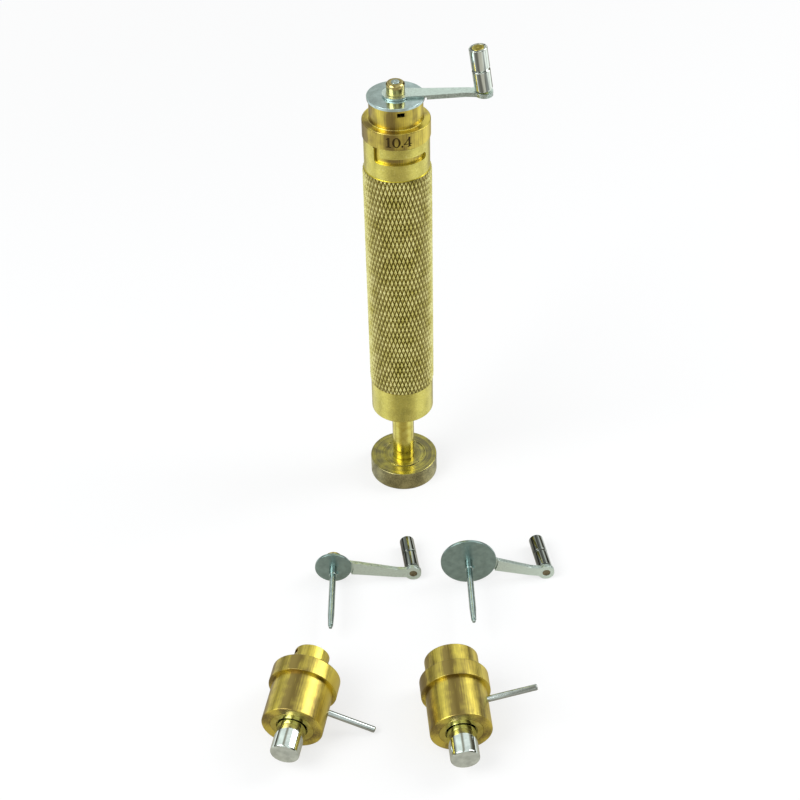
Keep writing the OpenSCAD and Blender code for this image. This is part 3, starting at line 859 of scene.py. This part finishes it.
def slot_tools(start):
    """The cuts that make one bayonet slot: its leg, its run's round end and its run."""
    inside = SOCKET_D / 2 - OVERRUN
    outside = NECK_D / 2 + OVERRUN
    half = SLOT_W / 2
    leg = slot_round(-90, 91) + [
        (half, RIM_Z - SLOT_FLARE), (half + SLOT_FLARE, RIM_Z), (half + SLOT_FLARE, RIM_Z + OVERRUN),
        (-half - SLOT_FLARE, RIM_Z + OVERRUN), (-half - SLOT_FLARE, RIM_Z), (-half, RIM_Z - SLOT_FLARE),
    ]
    tools = []
    for outline, turn in ((leg, start), (slot_round(0, 360), start + SLOT_TURN)):
        tool = lofted([[(x, y, z) for y, z in outline] for x in (inside, outside)])
        bmesh.ops.rotate(tool, verts=tool.verts, matrix=Matrix.Rotation(radians(turn), 3, "Z"))
        tools.append(tool)
    sections = []
    steps = ceil(SLOT_TURN / SLOT_RUN_STEP)
    for i in range(steps + 1):
        a = radians(start + SLOT_TURN * i / steps)
        sections.append([
            (r * cos(a), r * sin(a), z)
            for r, z in (
                (inside, SLOT_Z - half), (outside, SLOT_Z - half),
                (outside, SLOT_Z + half), (inside, SLOT_Z + half),
            )
        ])
    tools.append(lofted(sections))
    return tools


def bush(node, d, foot, h, bore, finish):
    outline = [
        (bore / 2, foot, BROKEN), (d / 2, foot, TUBE_EDGE),
        (d / 2, foot + h, TUBE_EDGE), (bore / 2, foot + h, BROKEN),
    ]
    piece(node, turned(outline), ON_AXIS, finish)


def coil(node, place, spring, foot, top, joint):
    """A coil spring as one tube."""
    wire, across, curls = spring
    rise = (top - foot - wire) / (2 * pi * curls)
    sections = []
    for i in range(curls * CURL_STEPS + 1):
        a = 2 * pi * i / CURL_STEPS
        out = Vector((cos(a), sin(a), 0))
        side = Vector((-sin(a), cos(a), rise / (across / 2))).normalized().cross(out)
        middle = out * across / 2 + Vector((0, 0, foot + wire / 2 + rise * a))
        sections.append([
            middle + (out * cos(t) + side * sin(t)) * wire / 2
            for t in (2 * pi * k / WIRE_SIDES for k in range(WIRE_SIDES))
        ])
    thing = piece(node, lofted(sections), place, FINISH["spring"])
    1 - travel_of[joint] / (top - foot)
    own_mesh(thing)


def handle():
    handle_tube()
    rod_bore = ROD_D + 2 * RUNNING_GAP
    bush("end_bush", BUSH_D, END_BUSH_Z, END_BUSH_H, rod_bore, FINISH["small_brass"])
    bush("guide_bush", BUSH_D, GUIDE_BUSH_Z, GUIDE_BUSH_H, rod_bore, FINISH["small_brass"])
    bush("rod_collar", ROD_COLLAR_D, ROD_COLLAR_Z, ROD_COLLAR_H, ROD_D + 2 * FIXED_GAP, FINISH["pin"])
    foot = ROD_COLLAR_Z + ROD_COLLAR_H + FACE_GAP
    coil("return_spring", ON_AXIS, RETURN_SPRING, foot, GUIDE_BUSH_Z - FACE_GAP, "push_rod_slide")
    rod = [
        (0, ROD_FOOT_Z, 0), (ROD_D / 2, ROD_FOOT_Z, TUBE_EDGE),
        (ROD_D / 2, ROD_TOP_Z, TUBE_EDGE), (0, ROD_TOP_Z, 0),
    ]
    piece("push_rod", turned(rod), ON_AXIS, FINISH["small_brass"])
    push_knob()


def push_knob():
    """The push knob, with a ring turned into its top face and the rod's seat."""
    seat_r = ROD_D / 2 + FIXED_GAP
    ring_r = RING_D / 2
    outline = [
        (0, 0, 0), (KNOB_D / 2, 0, ROUNDED), (KNOB_D / 2, KNOB_H, ROUNDED),
        (ring_r, KNOB_H, BROKEN), (ring_r - RING_TAPER, KNOB_H - RING_DEEP, BROKEN),
        (ring_r - RING_W + RING_TAPER, KNOB_H - RING_DEEP, BROKEN), (ring_r - RING_W, KNOB_H, BROKEN),
        (seat_r, KNOB_H, BROKEN), (seat_r, KNOB_H - KNOB_SEAT, 0), (0, KNOB_H - KNOB_SEAT, 0),
    ]
    piece("push_knob", turned(outline), ON_AXIS, FINISH["knob"])


# Heads
def size_number():
    """The cuts of the number on the fitted head's collar, stroke by stroke from each figure's middle."""
    half_h = NUMBER_H / 2
    thick = NUMBER_THICK / 2
    thin = NUMBER_THIN / 2

    def foot(middle, width):
        return [(x, thin - half_h, thin) for x in (middle - width / 2, middle, middle + width / 2)]

    one = [
        [(0, -half_h, thick), (0, half_h, thick)],
        [(0, half_h - thin, thin), (-ONE_FLAG_W, half_h - ONE_FLAG_DROP, thin)],
        foot(0, ONE_FOOT_W),
    ]
    dot = [[(x, DOT_H / 2 - half_h, DOT_H / 2) for x in (-DOT_W / 2, DOT_W / 2)]]
    slope_zs = (half_h - thin, 0, FOUR_BAR_Z + thin)
    four = [
        [(FOUR_STEM_X, -half_h, thick), (FOUR_STEM_X, half_h, thick)],
        [(x, z, thin) for x, z in zip(FOUR_SLOPE_XS, slope_zs)],
        [(x, FOUR_BAR_Z, thin) for x in FOUR_BAR_XS],
        foot(FOUR_STEM_X, FOUR_FOOT_W),
    ]
    nought = []
    for i in range(NOUGHT_STEPS):
        a = 2 * pi * i / NOUGHT_STEPS
        width = thin + (thick - thin) * cos(a) ** 2
        nought.append((NOUGHT_W / 2 * cos(a), (half_h - thin) * sin(a), width))
    cuts = [cut(nought, NUMBER_PLACES[1], True)]
    for strokes, middle in ((one, NUMBER_PLACES[0]), (dot, NUMBER_PLACES[2]), (four, NUMBER_PLACES[3])):
        cuts += [cut(stroke, middle) for stroke in strokes]
    return cuts


def cut(stroke, middle, endless=False):
    """One stroke's cut, along points of (across, up, half its width) on the collar."""
    floor_r = COLLAR_D / 2 - NUMBER_DEEP
    outer_r = COLLAR_D / 2 + OVERRUN
    sections = []
    for i, (u, v, half) in enumerate(stroke):
        before = stroke[i - 1 if i or endless else i]
        after = stroke[(i + 1) % len(stroke) if endless else min(i + 1, len(stroke) - 1)]
        along = Vector((after[0] - before[0], after[1] - before[1])).normalized()
        section = []
        for side, r in ((1, floor_r), (-1, floor_r), (-1, outer_r), (1, outer_r)):
            across = middle + u - along.y * half * side
            up = COLLAR_H / 2 + v + along.x * half * side
            a = radians(NUMBER_TURN) + across / (COLLAR_D / 2)
            section.append((r * cos(a), r * sin(a), up))
        sections.append(section)
    tool = lofted(sections, endless)
    for face in tool.faces:
        face.material_index = FACETED
    return tool


CHAMBER_TOP = COLLAR_H - WEB_H
FLANGE_FOOT = REAR_RING_H + FACE_GAP - BODY_H
FLANGE_TOP = FLANGE_FOOT + FLANGE_H
STEM_TOP = COLLAR_H + FACE_GAP
PIN_X = BODY_D / 2 - PIN_SEAT


def head_body(kind):
    """A head's body, with its drum, the drum's window and the pin's seat."""
    drum_r = DRUM_D[kind] / 2
    rim = COLLAR_H + DRUM_H[kind]
    inner = drum_r - DRUM_WALL
    stem_hole = STEM_D / 2 + RUNNING_GAP
    body = link("head_body", turned([
        (CHAMBER_D / 2, -BODY_H, EASED), (BODY_D / 2, -BODY_H, ROUNDED), (BODY_D / 2, 0, 0),
        (COLLAR_D / 2, 0, EASED), (COLLAR_D / 2, COLLAR_H, ROUNDED), (drum_r, COLLAR_H, ROUNDED),
        (drum_r, rim, EASED), (inner, rim, BROKEN), (inner, COLLAR_H, EASED), (stem_hole, COLLAR_H, BROKEN),
        (stem_hole, CHAMBER_TOP, 0), (CHAMBER_D / 2, CHAMBER_TOP, 0),
    ]), [FINISH["head"], FINISH["engraved"]])
    seat = placed((PIN_X, 0, -PIN_DROP), (0, 90, 0))
    carve(body, cylinder(PIN_D + 2 * FIXED_GAP, 0, PIN_SEAT + OVERRUN, seat))
    low_z = rim - WINDOW_RIM - WINDOW_H
    window = plate([
        (inner - OVERRUN, -WINDOW_W / 2), (drum_r + OVERRUN, -WINDOW_W / 2),
        (drum_r + OVERRUN, WINDOW_W / 2), (inner - OVERRUN, WINDOW_W / 2),
    ], low_z, low_z + WINDOW_H)
    bmesh.ops.rotate(window, verts=window.verts, matrix=Matrix.Rotation(radians(WINDOW_TURN), 3, "Z"))
    carve(body, window)
    if kind == "main":
        for stroke in size_number():
            carve(body, stroke)
    shade(body)
    body.data.transform(head_roll(kind))
    fit(kind + "_head_body", body, head_place(kind))


def head_pin(kind):
    length = PIN_SEAT - FIXED_GAP + PIN_OUT
    outline = [(0, 0, 0), (PIN_D / 2, 0, 0), (PIN_D / 2, length, ROUNDED), (0, length, 0)]
    seat = placed((PIN_X + FIXED_GAP, 0, -PIN_DROP), (0, 90, 0))
    place = head_place(kind) @ head_roll(kind) @ seat
    piece(kind + "_head_pin", turned(outline, FINE_ROUND), place, FINISH["pin"])


def ejector(kind):
    """The plunger, which is bored for the arbor, and the disc on its upper end."""
    tail = -BODY_H - PLUNGER_OUT
    top = STEM_TOP + EJECTOR_H
    flange_r = CHAMBER_D / 2 - RUNNING_GAP
    bore_r = ARBOR_D / 2 + RUNNING_GAP
    plunger = [
        (0, tail, 0), (PLUNGER_D / 2, tail, PLUNGER_EDGE), (PLUNGER_D / 2, FLANGE_FOOT, 0),
        (flange_r, FLANGE_FOOT, 0), (flange_r, FLANGE_TOP, 0), (STEM_D / 2, FLANGE_TOP, 0),
        (STEM_D / 2, STEM_TOP, 0), (STEM_END_D / 2, STEM_TOP, 0), (STEM_END_D / 2, top, BROKEN),
        (bore_r, top, BROKEN), (bore_r, -ARBOR_BORE_DEEP, 0), (0, -ARBOR_BORE_DEEP, 0),
    ]
    piece(kind + "_head_plunger", turned(plunger), head_place(kind), FINISH["chrome"])

    disc_r = DRUM_D[kind] / 2 - DRUM_WALL - EJECTOR_GAP
    hole_r = STEM_END_D / 2 + FIXED_GAP
    foot = STEM_TOP + FIXED_GAP
    disc = [(hole_r, foot, 0), (disc_r, foot, BROKEN), (disc_r, top, BROKEN), (hole_r, top, BROKEN)]
    piece(kind + "_head_ejector_disc", turned(disc), head_place(kind), FINISH["pin"])


def head(kind):
    head_body(kind)
    ring_r = CHAMBER_D / 2 - FIXED_GAP
    rear_ring = [
        (REAR_HOLE_D / 2, -BODY_H, EASED), (ring_r, -BODY_H, BROKEN),
        (ring_r, REAR_RING_H - BODY_H, 0), (REAR_HOLE_D / 2, REAR_RING_H - BODY_H, 0),
    ]
    piece(kind + "_head_rear_ring", turned(rear_ring), head_place(kind), FINISH["small_brass"])
    head_pin(kind)
    ejector(kind)
    foot = FLANGE_TOP + FACE_GAP
    top = CHAMBER_TOP - FACE_GAP
    coil(kind + "_head_spring", head_place(kind), HEAD_SPRING, foot, top, kind + "_ejector_slide")


# Cranks
def arm_outline():
    """The arm seen from above: its round end, its waisted shank and its eye."""
    set_x = ARM_REACH - EYE_D
    stations = [
        (0, ARM_ROOT_W / 2, 0), (DISC_D["main"] / 2, ARM_MID_W / 2, 0),
        (set_x, ARM_END_W / 2, ARM_SET), (ARM_REACH, ARM_END_W / 2, 0),
    ]

    def edge(x, side):
        widths = [-1.0]
        for (x0, w0, s0), (x1, w1, s1) in zip(stations, stations[1:]):
            if x0 <= x <= x1:
                share = (x - x0) / (x1 - x0)
                widths.append(w0 + (w1 - w0) * share + side * (s0 + (s1 - s0) * share))
        for centre, radius in ((0, ARM_BOSS_D / 2), (ARM_REACH, EYE_D / 2)):
            if abs(x - centre) < radius:
                widths.append((radius ** 2 - (x - centre) ** 2) ** 0.5)
        return side * max(widths)

    xs = [-ARM_BOSS_D / 2 * cos(radians(a)) for a in BOSS_TURNS]
    xs += [ARM_REACH * i / ARM_STEPS for i in range(1, ARM_STEPS)] + [DISC_D["main"] / 2, set_x]
    xs += [ARM_REACH - EYE_D / 2 * cos(radians(a)) for a in EYE_TURNS]
    xs = sorted(set(xs))
    return [(x, edge(x, 1)) for x in xs] + [(x, edge(x, -1)) for x in reversed(xs)]


def cylinder(d, foot, top, place=None):
    tool = turned([(0, foot, 0), (d / 2, foot, 0), (d / 2, top, 0), (0, top, 0)], FINE_ROUND)
    if place:
        tool.transform(place)
    return tool


def crank_arm(kind):
    arm = link("arm", plate(arm_outline(), ARM_FOOT_Z, ARM_TOP_Z), [FINISH["arm"]])
    under = ARM_FOOT_Z - OVERRUN
    carve(arm, cylinder(DISC_D[kind] + 2 * ARM_RELIEF, under, ARM_FOOT_Z + ARM_RELIEF))
    bevel(arm, EASED)
    carve(arm, cylinder(CORE_D + 2 * FIXED_GAP, under, ARM_TOP_Z + OVERRUN))
    carve(arm, cylinder(AXLE_D + 2 * FIXED_GAP, -ARM_H, ARM_H, EYE_PLACE))
    shade(arm)
    fit(kind + "_crank_arm", arm, crank_place(kind))


def crank_arbor(kind):
    """The arbor, with the core and hook that take the mainspring's inner end."""
    core_r = CORE_D / 2
    tip = PILOT_LEN - ARBOR_LEN
    top = HUB_TOP_Z + ARBOR_PROUD
    arbor = link("arbor", turned([
        (0, -ARBOR_LEN, 0), (PILOT_D / 2, -ARBOR_LEN, EASED), (PILOT_D / 2, tip, 0),
        (ARBOR_TIP_D / 2, tip, BROKEN), (ARBOR_D / 2, tip + ARBOR_TAPER, ROUNDED),
        (ARBOR_D / 2, -CORE_LEN, 0), (core_r, -CORE_LEN, EASED), (core_r, top, EASED),
        (ARBOR_MARK, top, BROKEN), (0, top - ARBOR_MARK, 0),
    ], FINE_ROUND), [FINISH["arbor"]])
    hook_foot = -HOOK_DROP - HOOK_H / 2
    hook = plate([(0, 0), (core_r + HOOK_OUT, 0), (0, core_r)], hook_foot, hook_foot + HOOK_H)
    carve(arbor, hook, "UNION")
    shade(arbor)
    fit(kind + "_crank_arbor", arbor, crank_place(kind))


def axle_and_knob(kind):
    """The knob and the headed axle that it turns on, both leaning in towards the hub."""
    knob_foot = knob_foot_z(kind)
    knob_top = knob_foot + CRANK_KNOB_H
    head_foot = knob_top - AXLE_HEAD_H
    axle_foot = FIXED_GAP - ARM_H / 2
    axle = [
        (0, axle_foot + RIVET_DEEP, 0), (RIVET_DIP_D / 2, axle_foot, BROKEN),
        (AXLE_D / 2, axle_foot, BROKEN), (AXLE_D / 2, head_foot, 0),
        (AXLE_HEAD_D / 2, head_foot, 0), (AXLE_HEAD_D / 2, knob_top, EASED),
        (AXLE_MARK, knob_top, BROKEN), (0, knob_top - AXLE_MARK, 0),
    ]
    finish = FINISH["small_brass"] if kind == "main" else FINISH["rivet"]
    piece(kind + "_crank_axle", turned(axle, FINE_ROUND), axle_place(kind), finish)

    r = CRANK_KNOB_D[kind] / 2
    mid = knob_foot + CRANK_KNOB_H / 2
    bore = AXLE_D / 2 + RUNNING_GAP
    head_bore = AXLE_HEAD_D / 2 + RUNNING_GAP
    knob = [
        (bore, knob_foot, BROKEN), (r - FOOT_DEEP, knob_foot, BROKEN),
        (r - FOOT_DEEP, knob_foot + FOOT_H, BROKEN), (r, knob_foot + FOOT_H, EASED),
        (r, mid - GROOVE_W / 2, EASED), (r - GROOVE_DEEP, mid, EASED),
        (r, mid + GROOVE_W / 2, EASED), (r, knob_top, ROUNDED), (head_bore, knob_top, BROKEN),
        (head_bore, head_foot - FACE_GAP, 0), (bore, head_foot - FACE_GAP, 0),
    ]
    finish = FINISH["crank_knob"] if kind == "main" else FINISH["spare_knob"]
    piece(kind + "_crank_knob", turned(knob, FINE_ROUND), axle_place(kind), finish)


def crank(kind):
    place = crank_place(kind)
    crank_arbor(kind)
    disc_r = DISC_D[kind] / 2
    hole_r = CORE_D / 2 + FIXED_GAP
    disc = [(hole_r, 0, 0), (disc_r, 0, EASED), (disc_r, DISC_H, EASED), (hole_r, DISC_H, 0)]
    finish = FINISH["disc"] if kind == "main" else FINISH["dark_disc"]
    piece(kind + "_crank_disc", turned(disc), place, finish)
    crank_arm(kind)

    foot = ARM_TOP_Z + FIXED_GAP
    hub = [
        (hole_r, foot, 0), (HUB_D / 2, foot, EASED), (HUB_D / 2, HUB_TOP_Z - HUB_EDGE, EASED),
        (HUB_D / 2 - HUB_EDGE, HUB_TOP_Z, EASED), (hole_r, HUB_TOP_Z, BROKEN),
    ]
    piece(kind + "_crank_hub", turned(hub), place, FINISH["hub"])
    axle_and_knob(kind)


handle()
for kind in KINDS:
    head(kind)
    crank(kind)


# Floor, lights and what lies round the studio
FLOOR_HALF = 3000.0
FLOOR_GLOW = 0.68
FLOOR_WHITE_FROM = 120.0
FLOOR_WHITE_AT = 420.0
WORLD_LEVEL = 0.6
MIRROR_GLOW = 0.75
PAPER = (0.9, 0.9, 0.9)
WHITE = (1.0, 1.0, 1.0)
SKY = (0.95, 0.98, 1.0)

# Softboxes: name, place, width, height and watts
SOFTBOXES = [
    ("left_softbox", (-320.0, -220.0, 380.0), 320.0, 320.0, 1.6),
    ("right_softbox", (360.0, 60.0, 300.0), 200.0, 320.0, 0.9),
]
SOFTBOX_AIM = (0.0, -20.0, 40.0)

# What polished metal finds on the floor all round: 0 and 1 the viewer's side, 0.25 left, 0.75 right
BRIGHT = (1.0, 1.02, 0.98)
DIM = (0.36, 0.34, 0.29)
BROWN = (0.26, 0.21, 0.14)
TAN = (0.38, 0.33, 0.24)
SAND = (0.6, 0.56, 0.47)
FLOOR_TONES = [
    (0.0, TAN), (0.06, TAN), (0.11, SAND), (0.15, BRIGHT),
    (0.222, BRIGHT), (0.229, DIM), (0.243, DIM), (0.25, BRIGHT),
    (0.353, BRIGHT), (0.389, BROWN), (0.42, BROWN), (0.456, BRIGHT),
    (0.53, BRIGHT), (0.55, BROWN), (0.62, BROWN), (0.66, BRIGHT),
    (0.735, BRIGHT), (0.742, DIM), (0.756, DIM), (0.763, BRIGHT),
    (0.85, BRIGHT), (0.89, SAND), (0.94, TAN), (1.0, TAN),
]

# What it finds round the studio: 0.25 far left, 0.5 overhead, 0.75 far right
LEFT_WALL = (1.0, 1.05, 1.0)
RIGHT_WALL = (0.92, 0.95, 0.92)
ROOF = (0.36, 0.34, 0.28)
SHADE = (0.3, 0.28, 0.22)
DUSK = (0.10, 0.085, 0.06)
GLOOM = (0.08, 0.07, 0.05)
DARK = (0.05, 0.045, 0.03)
WORLD_TONES = [
    (0.0, DARK), (0.29, DUSK), (0.35, LEFT_WALL), (0.44, LEFT_WALL), (0.465, ROOF), (0.485, ROOF),
    (0.515, RIGHT_WALL), (0.61, RIGHT_WALL), (0.645, SHADE), (0.68, GLOOM), (1.0, DARK),
]


def seen_directly(start):
    """1 for rays from the camera and for those that glass passes on."""
    return start.sum("MAXIMUM", start.node("LightPath", out=0), start.node("LightPath", out=6))


def mirrored(start):
    """1 for rays that polished metal sends on."""
    return start.node("LightPath", out=3)


def tones_round(tones, across, along):
    """The tone at a turn round an axis, the turn going from 0 to 1."""
    turn = across.sum("ARCTAN2", across, along) * (0.5 / pi) + 0.5
    stops = [(place, rgba(tone)) for place, tone in tones]
    return across.node("ValToRGB", {"stops": stops}, {0: turn})


def blend(factor, first, second):
    """A shader between two others."""
    return factor.node("MixShader", {}, {0: factor, 1: first, 2: second})


def floor():
    bm = bmesh.new()
    bmesh.ops.create_grid(bm, x_segments=2, y_segments=2, size=FLOOR_HALF * MM)
    paper = bpy.data.materials.new("white_paper")
    start = emptied(paper)
    x, y = coordinates(start)[:2]
    matt = start.node("BsdfDiffuse", {}, {"Color": rgba(PAPER)})
    white = start.node("Emission", {}, {"Color": rgba(WHITE), "Strength": 1.0})
    toned = start.node("Emission", {}, {"Color": tones_round(FLOOR_TONES, x, y), "Strength": 1.0})
    far = ramp(from_axis(x, y), FLOOR_WHITE_FROM, FLOOR_WHITE_AT)
    seen = blend(seen_directly(start) * (FLOOR_GLOW + far * (1 - FLOOR_GLOW)), matt, white)
    both = blend(mirrored(start) * MIRROR_GLOW, seen, toned)
    start.node("OutputMaterial", {}, {"Surface": both})
    link("floor", bm, [paper])


def softbox(name, shift, width, height, watts):
    lamp = bpy.data.lights.new(name, "AREA")
    lamp.shape = "RECTANGLE"
    lamp.size = width * MM
    lamp.size_y = height * MM
    lamp.energy = watts
    made = bpy.data.objects.new(name, lamp)
    scene.collection.objects.link(made)
    made.location = Vector(shift) * MM
    made.rotation_euler = (Vector(SOFTBOX_AIM) - Vector(shift)).to_track_quat("-Z", "Y").to_euler()


def studio():
    """The world: even light on the pieces, white to the camera, and tones that polished metal finds."""
    world = bpy.data.worlds.new("studio")
    start = emptied(world)
    way = start.node("TexCoord")
    across = start.node("SeparateXYZ", {}, {0: way}, out=0)
    upward = start.node("SeparateXYZ", {}, {0: way}, out=2)
    around = start.node("Background", {}, {"Color": rgba(SKY), "Strength": WORLD_LEVEL})
    white = start.node("Background", {}, {"Color": rgba(WHITE), "Strength": 1.0})
    tones = tones_round(WORLD_TONES, across, upward)
    toned = start.node("Background", {}, {"Color": tones, "Strength": 1.0})
    both = blend(mirrored(start), blend(seen_directly(start), around, white), toned)
    start.node("OutputWorld", {}, {"Surface": both})
    scene.world = world


floor()
studio()
for box in SOFTBOXES:
    softbox(*box)
scene.view_settings.view_transform = "Standard"
